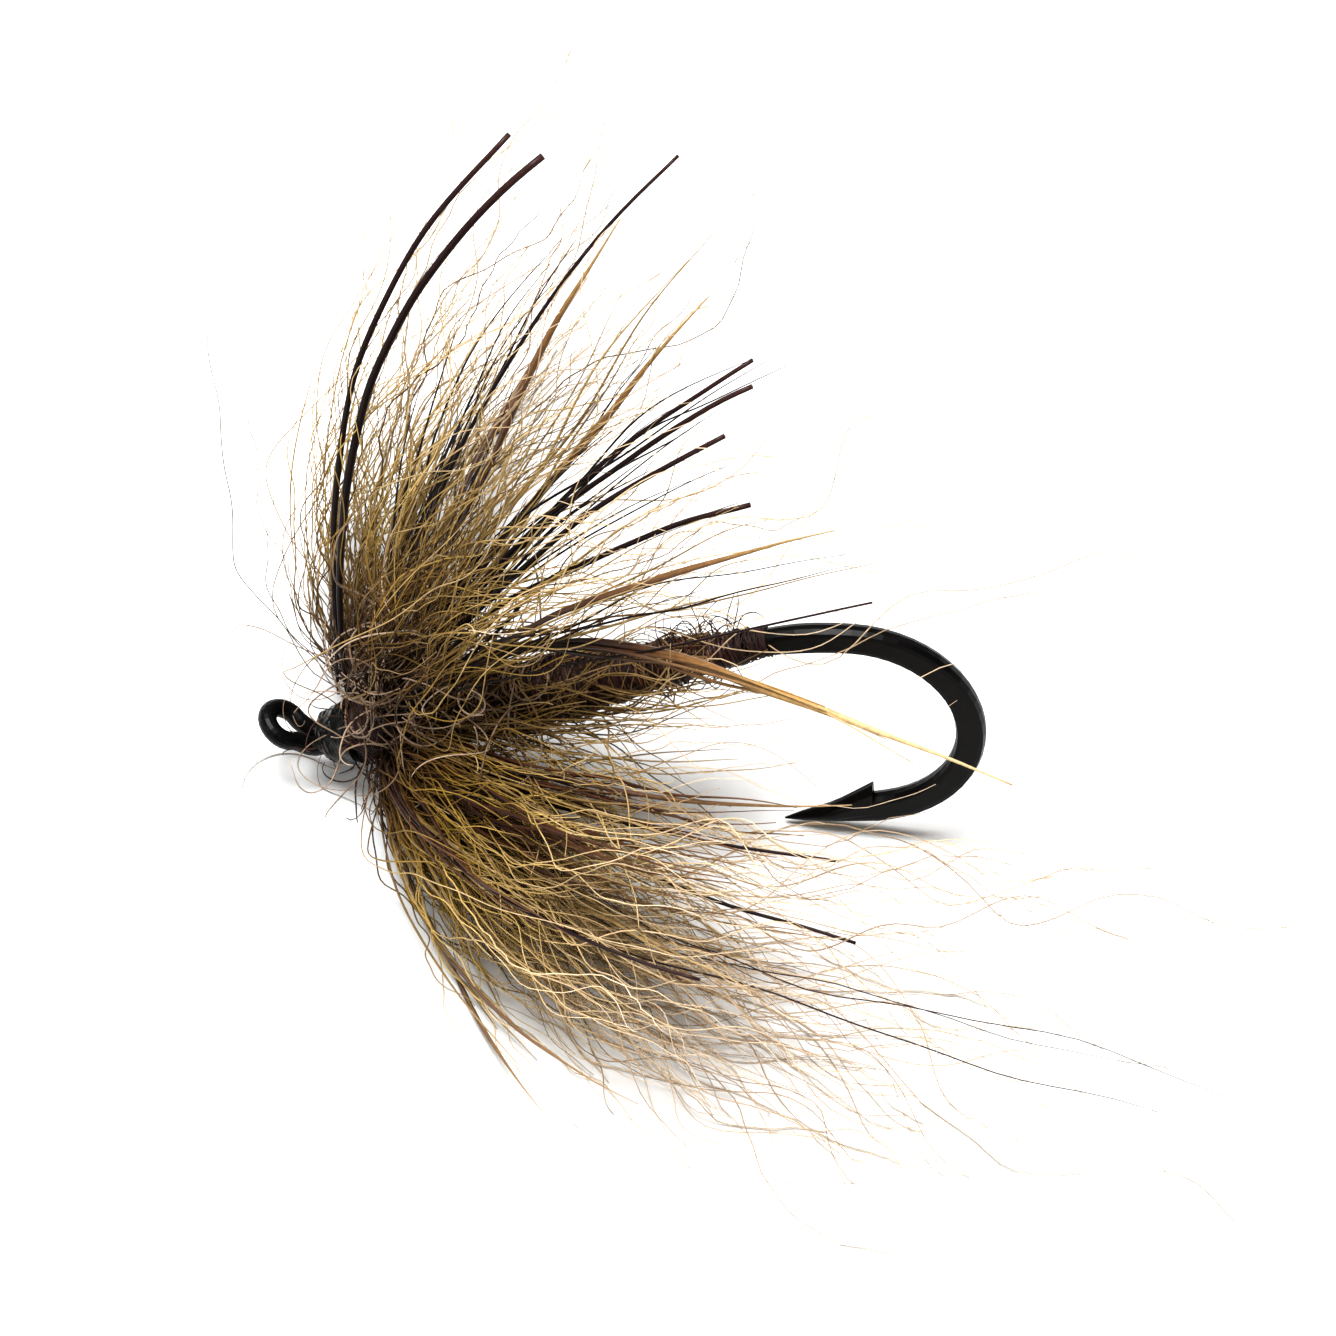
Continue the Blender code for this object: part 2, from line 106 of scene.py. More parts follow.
def resample(line, count):
    """Catmull-Rom curve through a line's points, with count points evenly spaced in parameter."""
    line = np.asarray(line)
    padded = np.vstack([2 * line[0] - line[1], line, 2 * line[-1] - line[-2]])
    at = np.linspace(0, len(line) - 1, count)
    k = np.minimum(at.astype(int), len(line) - 2)
    t = (at - k)[:, None]
    a, b, c, d = padded[k], padded[k + 1], padded[k + 2], padded[k + 3]
    return 0.5 * (2 * b + (c - a) * t + (2 * a - 5 * b + 4 * c - d) * t**2
                  + (3 * b - a - 3 * c + d) * t**3)


def tubes(name, lines, radii, sides, mat, tones, reach=None):
    """One mesh of tapered tubes. lines is (hairs, points, 3), radii (hairs, points).

    The colour runs from root to tip, or with the distance from the tie-in over reach."""
    hairs, points, _ = lines.shape
    tangent = np.gradient(lines, axis=1)
    tangent /= np.linalg.norm(tangent, axis=2, keepdims=True) + 1e-12
    reference = np.array([0.31, 0.52, 0.79])
    side = np.cross(tangent, reference)
    side /= np.linalg.norm(side, axis=2, keepdims=True) + 1e-12
    other = np.cross(tangent, side)
    turns = np.arange(sides) / sides * math.tau
    ring = (np.cos(turns)[:, None] * side[:, :, None, :] + np.sin(turns)[:, None] * other[:, :, None, :])
    verts = (lines[:, :, None, :] + radii[:, :, None, None] * ring).reshape(-1, 3)

    start = np.arange(hairs)[:, None, None] * points * sides
    low = start + np.arange(points - 1)[None, :, None] * sides
    i = np.arange(sides)[None, None, :]
    j = (i + 1) % sides
    quads = np.stack([low + i, low + j, low + sides + j, low + sides + i], axis=-1).reshape(-1, 4)
    first = np.arange(hairs)[:, None] * points * sides + np.arange(sides)[::-1]
    last = np.arange(hairs)[:, None] * points * sides + (points - 1) * sides + np.arange(sides)
    caps = np.vstack([first, last])

    mesh = bpy.data.meshes.new(name)
    mesh.vertices.add(len(verts))
    mesh.vertices.foreach_set("co", verts.astype(np.float32).ravel())
    loops = np.concatenate([quads.ravel(), caps.ravel()])
    mesh.loops.add(len(loops))
    mesh.loops.foreach_set("vertex_index", loops.astype(np.int32))
    starts = np.concatenate([np.arange(len(quads)) * 4, len(quads) * 4 + np.arange(len(caps)) * sides])
    mesh.polygons.add(len(starts))
    mesh.polygons.foreach_set("loop_start", starts.astype(np.int32))
    mesh.update(calc_edges=True)
    mesh.polygons.foreach_set("use_smooth", np.ones(len(starts), bool))
    if reach is None:
        along = np.tile(np.linspace(0, 1, points), (hairs, 1))
    else:
        along = np.linalg.norm(lines - TIE_IN, axis=2) / reach
    along = np.repeat(along[:, :, None], sides, axis=2)
    tone = np.tile(np.asarray(tones)[:, None, None], (1, points, sides))
    for key, values in (("along", along), ("tone", tone)):
        attribute = mesh.attributes.new(key, "FLOAT", "POINT")
        attribute.data.foreach_set("value", values.astype(np.float32).ravel())
    mesh.materials.append(mat)
    mesh.update()
    obj = bpy.data.objects.new(name, mesh)
    bpy.context.scene.collection.objects.link(obj)
    return obj


def unit(vectors):
    return vectors / (np.linalg.norm(vectors, axis=-1, keepdims=True) + 1e-12)


def wavy(rng, lines, waves, straight=0.7 * MM):
    """Adds waves of the given lengths and slopes across each hair, beyond its straight root."""
    hairs, points, _ = lines.shape
    length = np.linalg.norm(np.diff(lines, axis=1), axis=2).sum(axis=1)
    run = length[:, None] * np.linspace(0, 1, points)[None, :]
    grow = np.clip(run / straight - 0.3, 0, 1)
    side = unit(np.cross(lines[:, -1] - lines[:, 0], rng.normal(size=(hairs, 3))))
    other = np.cross(unit(lines[:, -1] - lines[:, 0]), side)
    out = lines.copy()
    for wavelength, slope in waves:
        for direction in (side, other):
            period = wavelength * rng.uniform(0.65, 1.5, (hairs, 1))
            phase = rng.uniform(0, math.tau, (hairs, 1))
            size = slope * period / math.tau * rng.uniform(0.3, 1.4, (hairs, 1))
            wave = np.sin(math.tau * run / period + phase) - np.sin(phase)
            out += (size * grow * wave)[:, :, None] * direction[:, None, :]
    return out


def wander(rng, starts, headings, length, curl, points, swing=0.25):
    """Loose fibres in free air. curl is the range of their bend radii, swing how fast it turns."""
    here, ahead = starts.copy(), unit(headings)
    count = len(here)
    axis = unit(np.cross(ahead, rng.normal(size=here.shape)))
    step = rng.uniform(*length, (count, 1)) / (points - 1)
    bend = step / rng.uniform(*curl, (count, 1))
    lines = np.zeros((count, points, 3))
    for k in range(points):
        lines[:, k] = here
        here = here + ahead * step
        axis = axis + swing * rng.normal(size=here.shape)
        axis = unit(axis - ahead * (axis * ahead).sum(axis=1, keepdims=True))
        ahead = unit(ahead * np.cos(bend) + np.cross(axis, ahead) * np.sin(bend))
    return lines


def lay_on_table(lines, radii):
    """Hair that would pass through the table lies on it instead."""
    floor = radii + 0.01 * MM
    below = np.maximum(floor - lines[:, :, 2], 0)
    lines[:, :, 2] = np.where(below > 0, floor + 0.04 * below, lines[:, :, 2])
    return lines


# ------------------------------------------------------------------ materials

HAIR_MOTTLE = 9000.0    # noise scales, per metre
TABLE_MOTTLE = 60.0
THREAD_TWIST = 12000.0


def new_material(name):
    mat = bpy.data.materials.new(name)
    mat.use_nodes = True
    nodes = mat.node_tree.nodes
    return mat, nodes, mat.node_tree.links, nodes["Principled BSDF"]


def ramp_node(nodes, stops):
    ramp = nodes.new("ShaderNodeValToRGB")
    ramp.color_ramp.elements.remove(ramp.color_ramp.elements[1])
    for k, (place, colour) in enumerate(stops):
        element = ramp.color_ramp.elements[0] if k == 0 else ramp.color_ramp.elements.new(place)
        element.position = place
        element.color = (*colour, 1.0)
    return ramp


def ramped(nodes, links, factor, stops):
    """Colour output of a new ramp over the given factor."""
    ramp = ramp_node(nodes, stops)
    links.new(factor, ramp.inputs["Fac"])
    return ramp.outputs["Color"]


def attribute_node(nodes, name):
    attribute = nodes.new("ShaderNodeAttribute")
    attribute.attribute_name = name
    return attribute.outputs["Fac"]


def noise_node(nodes, links, scale, detail):
    """Noise over the position in the world."""
    coords = nodes.new("ShaderNodeNewGeometry")
    noise = nodes.new("ShaderNodeTexNoise")
    noise.inputs["Scale"].default_value = scale
    noise.inputs["Detail"].default_value = detail
    links.new(coords.outputs["Position"], noise.inputs["Vector"])
    return noise.outputs["Fac"]


def multiplied(nodes, links, a, b):
    mix = nodes.new("ShaderNodeMix")
    mix.data_type = "RGBA"
    mix.blend_type = "MULTIPLY"
    mix.inputs["Factor"].default_value = 1.0
    links.new(a, mix.inputs["A"])
    links.new(b, mix.inputs["B"])
    return mix.outputs["Result"]


def roughened(nodes, links, factor, low, high, shader):
    """Roughness that runs from low to high with the factor."""
    rough = nodes.new("ShaderNodeMapRange")
    rough.inputs["To Min"].default_value = low
    rough.inputs["To Max"].default_value = high
    links.new(factor, rough.inputs["Value"])
    links.new(rough.outputs["Result"], shader.inputs["Roughness"])


def bumped(nodes, links, height, strength, distance, shader):
    bump = nodes.new("ShaderNodeBump")
    bump.inputs["Strength"].default_value = strength
    bump.inputs["Distance"].default_value = distance
    links.new(height, bump.inputs["Height"])
    links.new(bump.outputs["Normal"], shader.inputs["Normal"])


def hair_material(name, along_stops, tone_stops, roughness, shine=0.3):
    """Colour runs from root to tip, each hair has its own tone, and fine mottling breaks it up."""
    mat, nodes, links, shader = new_material(name)
    gradient = ramped(nodes, links, attribute_node(nodes, "along"), along_stops)
    tint = ramped(nodes, links, attribute_node(nodes, "tone"), tone_stops)
    mix = multiplied(nodes, links, gradient, tint)
    noise = noise_node(nodes, links, HAIR_MOTTLE, 3.0)
    shade = ramped(nodes, links, noise, ((0.3, (0.72, 0.72, 0.72)), (0.7, (1.15, 1.12, 1.08))))
    links.new(multiplied(nodes, links, mix, shade), shader.inputs["Base Color"])
    roughened(nodes, links, noise, roughness - 0.1, roughness + 0.12, shader)
    shader.inputs["Specular IOR Level"].default_value = shine
    return mat


def lacquer_material(name, colour, roughness, bump_scale, bump_strength):
    """Glossy black lacquer with faint unevenness and small dull patches."""
    mat, nodes, links, shader = new_material(name)
    noise = noise_node(nodes, links, bump_scale, 5.0)
    tint = ramped(nodes, links, noise, ((0.25, tuple(c * 0.6 for c in colour)), (0.6, colour),
                                        (0.85, tuple(min(1.0, c * 2.4 + 0.006) for c in colour))))
    links.new(tint, shader.inputs["Base Color"])
    roughened(nodes, links, noise, roughness * 0.6, roughness * 1.8, shader)
    bumped(nodes, links, noise, bump_strength, 0.02 * MM, shader)
    shader.inputs["Specular IOR Level"].default_value = 0.07
    return mat


WHITE_TONE = ((0.0, (0.55, 0.5, 0.45)), (0.5, (0.9, 0.88, 0.85)), (1.0, (1.25, 1.25, 1.25)))
HAIR_TONE = ((0.0, (0.16, 0.11, 0.08)), (0.25, (0.42, 0.35, 0.28)), (0.45, (0.82, 0.77, 0.70)),
             (1.0, (1.45, 1.45, 1.5)))
LIGHT_TONE = ((0.0, (0.42, 0.36, 0.30)), (0.3, (0.74, 0.70, 0.64)), (0.65, (1.0, 0.97, 0.93)),
              (1.0, (1.45, 1.45, 1.5)))
# The near-black stops up to 0.27 of the reach from the tie-in are partly the hair's own darker roots and partly
# painted shade at the root of the bunch behind the head.
underfur_mat = hair_material(
    "tan_underfur",
    ((0.0, (0.012, 0.005, 0.002)), (0.15, (0.022, 0.009, 0.003)), (0.27, (0.11, 0.058, 0.012)),
     (0.42, (0.245, 0.16, 0.050)), (0.7, (0.42, 0.31, 0.165)), (1.0, (0.56, 0.44, 0.29))),
    HAIR_TONE, 0.6, 0.12)
# Here too the near-black root stops are partly darker hair roots and partly painted shade at the bunch root.
olive_mat = hair_material(
    "olive_brown_underfur",
    ((0.0, (0.012, 0.005, 0.002)), (0.15, (0.022, 0.009, 0.003)), (0.27, (0.11, 0.055, 0.010)),
     (0.40, (0.26, 0.16, 0.024)), (0.58, (0.45, 0.31, 0.095)), (0.8, (0.67, 0.50, 0.29)),
     (1.0, (0.76, 0.60, 0.43))),
    LIGHT_TONE, 0.6, 0.12)
underfur_web_mat = hair_material(
    "teased_golden_hair",
    ((0.0, (0.04, 0.018, 0.006)), (0.35, (0.22, 0.135, 0.038)), (1.0, (0.46, 0.33, 0.14))),
    HAIR_TONE, 0.5, 0.15)
bristle_mat = hair_material(
    "black_guard_hair",
    ((0.0, (0.004, 0.002, 0.002)), (0.5, (0.005, 0.0025, 0.002)), (0.85, (0.012, 0.004, 0.004)),
     (1.0, (0.03, 0.012, 0.010))), WHITE_TONE, 0.36, 0.10)
red_brown_mat = hair_material(
    "red_brown_guard_hair",
    ((0.0, (0.012, 0.004, 0.002)), (0.5, (0.035, 0.011, 0.005)), (0.8, (0.09, 0.035, 0.012)),
     (1.0, (0.2, 0.1, 0.04))), WHITE_TONE, 0.4, 0.15)
long_lance_mat = hair_material(
    "long_copper_guard_hair",
    ((0.0, (0.005, 0.003, 0.002)), (0.5, (0.008, 0.004, 0.003)), (0.62, (0.05, 0.018, 0.006)),
     (0.76, (0.20, 0.095, 0.024)), (0.92, (0.40, 0.24, 0.075)), (1.0, (0.55, 0.38, 0.18))),
    WHITE_TONE, 0.4, 0.3)
lance_mat = hair_material(
    "copper_guard_hair",
    ((0.0, (0.005, 0.003, 0.002)), (0.35, (0.016, 0.006, 0.003)), (0.58, (0.065, 0.024, 0.007)),
     (0.78, (0.19, 0.09, 0.024)), (0.92, (0.36, 0.22, 0.075)), (1.0, (0.50, 0.34, 0.17))),
    WHITE_TONE, 0.4, 0.35)
tan_guard_mat = hair_material(
    "tan_guard_hair",
    ((0.0, (0.02, 0.009, 0.003)), (0.25, (0.10, 0.050, 0.011)), (0.6, (0.25, 0.155, 0.038)),
     (1.0, (0.46, 0.33, 0.16))), WHITE_TONE, 0.42, 0.25)
dark_dubbing_mat = hair_material(
    "dark_dubbing",
    ((0.0, (0.020, 0.007, 0.005)), (1.0, (0.036, 0.012, 0.007))),
    ((0.0, (0.4, 0.4, 0.4)), (0.7, (1.0, 0.95, 0.9)), (1.0, (2.6, 1.9, 1.2))), 0.62, 0.2)
gold_dubbing_mat = hair_material(
    "golden_dubbing_fibre",
    ((0.0, (0.15, 0.075, 0.022)), (0.5, (0.26, 0.15, 0.055)), (1.0, (0.36, 0.23, 0.11))),
    ((0.0, (0.35, 0.3, 0.28)), (0.5, (0.8, 0.76, 0.72)), (1.0, (1.4, 1.4, 1.4))), 0.55)
curl_mat = hair_material(
    "grey_tan_curl",
    ((0.0, (0.24, 0.16, 0.095)), (1.0, (0.42, 0.31, 0.22))),
    ((0.0, (0.45, 0.4, 0.35)), (0.5, (0.85, 0.8, 0.78)), (1.0, (1.3, 1.3, 1.3))), 0.55)
steel_mat = lacquer_material("black_hook_lacquer", (0.0014, 0.0012, 0.0012), 0.30, 900.0, 0.08)
varnish_mat = lacquer_material("head_varnish", (0.004, 0.0045, 0.004), 0.2, 4000.0, 0.6)


def thread_material(name, colour):
    """Waxed tying thread: fine diagonal twist in the bump and a soft shine, with the colour painted darker in the
    twist's grooves and lighter on its ridges as painted shade and highlight.
    """
    mat, nodes, links, shader = new_material(name)
    coords = nodes.new("ShaderNodeNewGeometry")
    wave = nodes.new("ShaderNodeTexWave")
    wave.bands_direction = "DIAGONAL"
    wave.inputs["Scale"].default_value = THREAD_TWIST
    wave.inputs["Distortion"].default_value = 1.5
    links.new(coords.outputs["Position"], wave.inputs["Vector"])
    # Painted shade and highlight: the colour follows the bump's wave, darker in the grooves and lighter on the
    # ridges.
    tint = ramped(nodes, links, wave.outputs["Fac"],
                  ((0.2, tuple(c * 0.5 for c in colour)), (0.8, tuple(c * 1.5 for c in colour))))
    links.new(tint, shader.inputs["Base Color"])
    bumped(nodes, links, wave.outputs["Fac"], 0.5, 0.006 * MM, shader)
    shader.inputs["Roughness"].default_value = 0.42
    return mat


thread_mat = thread_material("black_thread", (0.010, 0.007, 0.006))
red_thread_mat = thread_material("dark_red_thread", (0.040, 0.008, 0.006))


# ------------------------------------------------------------------ hair bunches

LOCK_STEPS = 8          # rings in a CAD lock, less one
HAIR_STEPS = 10         # rings in a CAD guard hair, less one
HAIR_REACH = 11 * MM    # distance from the tie-in at which the soft hair's colour is that of its tips
TOP_REACH = 17 * MM     # the same for the darker top bunch
UNDERFUR_POINTS = 58    # points along each soft hair
GUARD_POINTS = 34       # points along each guard hair
LOCK_GATHER = 0.85      # how far the hairs of a pointed lock lean back together at their tips
STRAY_RADIUS = 0.0165 * MM
THIN_HAIR = 0.04 * MM   # lances thinner than this are plain tan hairs


def nodes_named(prefix, kind):
    return sorted(n for n in frame["nodes"] if n.startswith(prefix) and kind in n)


def stretched(lines, share):
    """Each line cut short or carried on past its end: share is its new length over the old."""
    hairs, points, _ = lines.shape
    at = np.linspace(0, 1, points)[None, :] * share[:, None] * (points - 1)
    k = np.clip(at.astype(int), 0, points - 2)
    t = (at - k)[:, :, None]
    rows = np.arange(hairs)[:, None]
    return lines[rows, k] * (1 - t) + lines[rows, k + 1] * t


def tilted(rng, lines, spread, gather=0.0):
    """Each line tilted about the tie-in point by its own small random angles.

    With gather, lines lean back together towards their tips, as hair in a pointed lock does."""
    ahead = unit(lines[:, -1] - lines[:, 0])
    side = unit(np.cross(ahead, (0.2, -0.4, 0.9)))
    other = np.cross(ahead, side)
    share = np.linspace(0, 1, lines.shape[1])[None, :]
    away = (np.linalg.norm(lines, axis=2) * (1 - gather * share**2))[:, :, None]
    tilt = rng.normal(size=(len(lines), 2)) * spread
    return lines + away * (tilt[:, :1] * side + tilt[:, 1:] * other)[:, None, :]


def fan(rng, guides, count, clumps, spreads, share, points, lift=0.0):
    """Hairs that fill the space round and between neighbouring guides, in loose clumps.

    lift raises them all by that angle, so that they lie on top of their bunch."""
    guides = np.array([resample(g, points) for g in guides]) - TIE_IN
    tips = guides[:, -1]
    first = rng.integers(0, len(guides), clumps)
    second = np.array([rng.choice(np.argsort(np.linalg.norm(tips - tips[a], axis=1))[:3]) for a in first])
    weight = rng.uniform(0, 0.65, clumps)[:, None, None]
    centres = tilted(rng, guides[first] * (1 - weight) + guides[second] * weight, spreads[0])
    pointed = (rng.uniform(size=(count, 1)) < 0.5) * 1.0
    lines = tilted(rng, centres[rng.integers(0, clumps, count)], spreads[1] * (1 - 0.45 * pointed),
                   LOCK_GATHER * pointed)
    lines[:, :, 2] += lift * np.linalg.norm(lines, axis=2)
    return stretched(lines, share) + TIE_IN


LONG_LANCE = "top_lance_4"
LONG_REACH = 13 * MM    # distance from the tie-in at which the long lance has its tip colour
# How some guard hairs bow away from their CAD centre line, in millimetres along the shank, across
# and up: in mid length, at the root, and at the tip.
BOWS = {LONG_LANCE: ((0, 2.25, 1.2), (0, 0, 0), (0.9, -2.3, 0)),
        "far_bristle_1": ((0, 0, 0.5), (-0.6, 0, 0.2), (0.3, -0.9, -0.2)),
        "far_bristle_2": ((0, 0, 0.5), (-0.45, 0, 0.1), (0.1, -0.9, -0.2))}


def bowed(node, points):
    """Centre line of a guard hair with its own bow, if it has one."""
    line = resample(centre_line(node, HAIR_STEPS), points)
    if node not in BOWS:
        return line
    share = np.linspace(0, 1, points)[:, None]
    middle, root, tip = (hook_frame(np.array(v) * MM) - TIE_IN for v in BOWS[node])
    return line + np.sin(math.pi * share) * middle + (1 - share) ** 3 * root + share**2 * tip


def blend_with(obj, guides):
    """Bakes the bunch's placement into its mesh; the mean heading of its guides is worked out but not used."""
    ahead = np.mean([g[-1] for g in guides], axis=0) - TIE_IN
    ahead /= np.linalg.norm(ahead)
    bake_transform(obj)


def fine_radii(rng, hairs, points, size, tip=0.5, root=1.0):
    """Hair radii: each hair has its own thickness, thinner at the tip and, if asked, the root."""
    share = np.linspace(0, 1, points)[None, :]
    taper = 1 - (1 - tip) * np.clip(2 * share - 1, 0, 1) ** 1.5
    swell = root + (1 - root) * np.clip(share / 0.35, 0, 1)
    return size * rng.uniform(0.7, 1.3, (hairs, 1)) * taper * swell


class Bunch:
    """One bunch of the hair wing: its guide lines, its body and its random numbers."""

    def __init__(self, prefix, seed):
        self.prefix = prefix
        self.body = prefix + "_wing"
        self.rng = np.random.default_rng(SEED + seed)
        self.locks = nodes_named(prefix, "lock")
        self.lock_lines = [centre_line(n, LOCK_STEPS) for n in self.locks]
        self.guards = {n: centre_line(n, HAIR_STEPS) for kind in ("bristle", "lance", "prop")
                       for n in nodes_named(prefix, kind)}

    def lines_like(self, *kinds):
        return [line for node, line in self.guards.items() if any(kind in node for kind in kinds)]

    def finish(self, name, lines, radii, sides, mat, tones, replaced=(), reach=None):
        lines = lay_on_table(lines, radii)
        obj = tubes(self.prefix + name, lines, radii, sides, mat, tones, reach)
        blend_with(obj, self.lock_lines)
        if replaced:
            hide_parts(*replaced)

    def underfur(self, name, guides, count, spreads, shares, size, mat, replaced=(), lift=0.0,
                 reach=HAIR_REACH, crimp=0.85):
        """Crimped soft hair, short ones many and long ones few, so that the bunch thins outwards."""
        rng = self.rng
        share = shares[0] + (shares[1] - shares[0]) * rng.uniform(0, 1, count) ** 1.5
        lines = fan(rng, guides, count, max(8, count // 6), spreads, share, UNDERFUR_POINTS, lift)
        lines = wavy(rng, lines, ((6 * MM, 0.34), (2.8 * MM, 0.34 * crimp), (1.0 * MM, 0.26 * crimp)))
        radii = fine_radii(rng, count, UNDERFUR_POINTS, size)
        self.finish(name, lines, radii, 3, mat, rng.uniform(0, 1, count), replaced, reach)

    def strays(self, guides, count, spread, shares):
        """Long thin hairs that leave the bunch in wide lazy curves."""
        rng = self.rng
        share = rng.uniform(*shares, count)
        lines = fan(rng, guides, count, count, (spread, 0.03), share, UNDERFUR_POINTS)
        lines = wavy(rng, lines, ((9 * MM, 0.45), (4 * MM, 0.40), (1.5 * MM, 0.12)))
        radii = fine_radii(rng, count, UNDERFUR_POINTS, STRAY_RADIUS)
        self.finish("_stray_hair", lines, radii, 3, olive_mat, rng.uniform(0, 0.6, count),
                    reach=HAIR_REACH)

    def fine_guards(self, name, guides, count, clumps, spreads, shares, size, mat, slot, lift=0.0,
                    reach=None):
        """Thin straight guard hairs that run beside the thick ones."""
        rng = self.rng
        share = rng.uniform(*shares, count)
        lines = fan(rng, guides, count, clumps, spreads, share, GUARD_POINTS, lift)
        lines = wavy(rng, lines, ((8 * MM, 0.10), (3.5 * MM, 0.07)))
        radii = fine_radii(rng, count, GUARD_POINTS, size, 0.25, 0.5)
        self.finish(name, lines, radii, 5, mat, rng.uniform(0, 1, count), reach=reach)

    def guard_hair(self, node, thick):
        """The fine form of one CAD guard hair: a blunt bristle, a lance or a prop hair."""
        rng = self.rng
        line = wavy(rng, bowed(node, GUARD_POINTS)[None], ((7 * MM, 0.05), (3 * MM, 0.03)))
        share = np.linspace(0, 1, GUARD_POINTS)[None, :]
        tone = [rng.uniform(0.3, 0.8)]
        if "bristle" in node:
            root, tip_loss = 0.45, 0.18
            radii = thick * (root + (1 - root) * np.minimum(1, 3 * share)) * (1 - tip_loss * share)
            self.finish(node[len(self.prefix):] + "_hair", line, radii, 10, bristle_mat,
                        tone, [node])
        else:
            thickest_at, swell_width = 0.64, 0.25
            swell = np.exp(-((share - thickest_at) / swell_width) ** 2)
            radii = thick * (0.36 + 0.72 * swell - 0.28 * share)
            mat, reach = (long_lance_mat, LONG_REACH) if node == LONG_LANCE else (lance_mat, None)
            if thick < THIN_HAIR:
                mat = tan_guard_mat
            self.finish(node[len(self.prefix):] + "_hair", line, radii, 10, mat,
                        tone, [node], reach)


def build_bunches():
    far, top, near = Bunch("far", 1), Bunch("top", 2), Bunch("near", 3)
    wide, tight = (0.11, 0.095), (0.08, 0.06)
    far.underfur("_underfur", far.lock_lines[1:], 175, wide, (0.14, 1.45), 0.0175 * MM, underfur_mat,
                 far.locks, -0.06)
    far.underfur("_outer_underfur", [far.lock_lines[0], far.guards["far_lance_1"]], 38, wide, (0.3, 1.2),
                 0.0150 * MM, underfur_mat)
    far.strays(far.lock_lines, 54, 0.14, (0.7, 1.9))
    top.underfur("_underfur", top.lock_lines, 120, wide, (0.16, 1.45), 0.0170 * MM, underfur_mat, top.locks,
                 reach=TOP_REACH)
    rearward = [top.guards["top_lance_3"], top.guards["top_bristle_4"]]
    top.strays(top.lock_lines + rearward, 92, 0.17, (0.7, 1.5))
    rightward = [near.guards["near_lance_4"], near.guards["near_bristle_2"]]
    near.underfur("_underfur", near.lock_lines + rightward, 350, wide, (0.14, 1.60), 0.0165 * MM, olive_mat,
                  near.locks, -0.04)
    near.underfur("_golden_underfur", near.lock_lines[:4], 190, tight, (0.15, 1.20), 0.0185 * MM,
                  underfur_mat, crimp=0.45)
    near.strays(near.lock_lines[1:4] + rightward, 84, 0.13, (0.9, 1.9))

    black, copper = "black_guard_hair", "copper_guard_hair"
    far.fine_guards("_fine_dark_hair", far.lines_like("bristle_3", "lance_3") + far.lock_lines[2:], 22, 16,
                    (0.08, 0.05), (0.45, 1.1), 0.030 * MM, bristle_mat, black)
    far.fine_guards("_tan_guard_hair", far.lines_like("lance_3") + far.lock_lines, 26, 14, (0.08, 0.04),
                    (0.4, 1.0), 0.030 * MM, tan_guard_mat, copper)
    upright = [line for node, line in top.guards.items() if node not in (LONG_LANCE, "top_bristle_5")]
    top.fine_guards("_fine_dark_hair", upright, 24, 14, (0.06, 0.04), (0.5, 1.1), 0.030 * MM,
                    bristle_mat, black)
    top.fine_guards("_tan_guard_hair", upright, 22, 16, (0.08, 0.04), (0.4, 1.1), 0.030 * MM,
                    tan_guard_mat, copper)
    near.fine_guards("_fine_dark_hair", near.lines_like("bristle"), 46, 7, (0.06, 0.024),
                     (0.40, 0.95), 0.034 * MM, red_brown_mat, black, 0.12)
    near.fine_guards("_tan_guard_hair", near.lines_like("lance_3", "lance_4") + near.lock_lines[1:], 80, 22,
                     (0.10, 0.03), (0.35, 1.05), 0.040 * MM, tan_guard_mat, copper, 0.08)
    belly = [near.guards["near_lance_1"], near.lock_lines[0]]
    near.fine_guards("_belly_hair", belly, 24, 20, (0.10, 0.07), (0.30, 0.95), 0.026 * MM, tan_guard_mat,
                     copper, -0.12)
    near.fine_guards("_long_dark_strays", near.lock_lines[1:3], 3, 3, (0.09, 0.03), (1.9, 2.35),
                     0.021 * MM, bristle_mat, black, reach=HAIR_REACH)
    top.fine_guards("_long_lance_companions", [bowed(LONG_LANCE, GUARD_POINTS)], 5, 5, (0.012, 0.006),
                    (0.75, 1.0), 0.048 * MM, long_lance_mat, copper, reach=LONG_REACH)

    thin = {"near_bristle": 0.045 * MM, "near_lance": 0.055 * MM, "prop": 0.016 * MM,
            "top_bristle_5": 0.036 * MM, "top_bristle": 0.066 * MM, "far_bristle_3": 0.050 * MM,
            "far_lance_1": 0.018 * MM, "far_lance_2": 0.020 * MM, LONG_LANCE: 0.115 * MM,
            "lance": 0.098 * MM}
    for bunch in (far, top, near):
        for node in bunch.guards:
            thick = next((size for key, size in thin.items() if key in node), 0.090 * MM)
            bunch.guard_hair(node, thick * bunch.rng.uniform(0.85, 1.15))


build_bunches()


# ------------------------------------------------------------------ body

REAR_TAPER = 1.0 * MM   # how far the last dark fibres run down on to the bare shank
SHANK_RADIUS = 0.3 * MM


def skin_profile(nodes):
    """Outer radius of the body along the shank, read from its CAD nodes, down to the bare wire."""
    places, radii = [], []
    for node in nodes:
        points = np.array([v.co for v in frame["nodes"][node].data.vertices]) - TIE_IN
        x = points @ REARWARD
        radius = np.linalg.norm(points - x[:, None] * REARWARD, axis=1)
        edges = np.linspace(x.min(), x.max(), 9)
        for low, high in zip(edges, edges[1:]):
            inside = (x >= low - 1e-9) & (x <= high + 1e-9)
            if inside.any():
                places.append((low + high) / 2)
                radii.append(radius[inside].max())
    places.append(max(places) + REAR_TAPER)
    radii.append(SHANK_RADIUS)
    order = np.argsort(places)
    return np.array(places)[order], np.array(radii)[order]


profile_x, profile_r = skin_profile(["thorax_dubbing_ball", "abdomen_dubbing_rope",
                                     "rear_thread_wraps"])


def skin_radius(x):
    return np.interp(x, profile_x, profile_r)


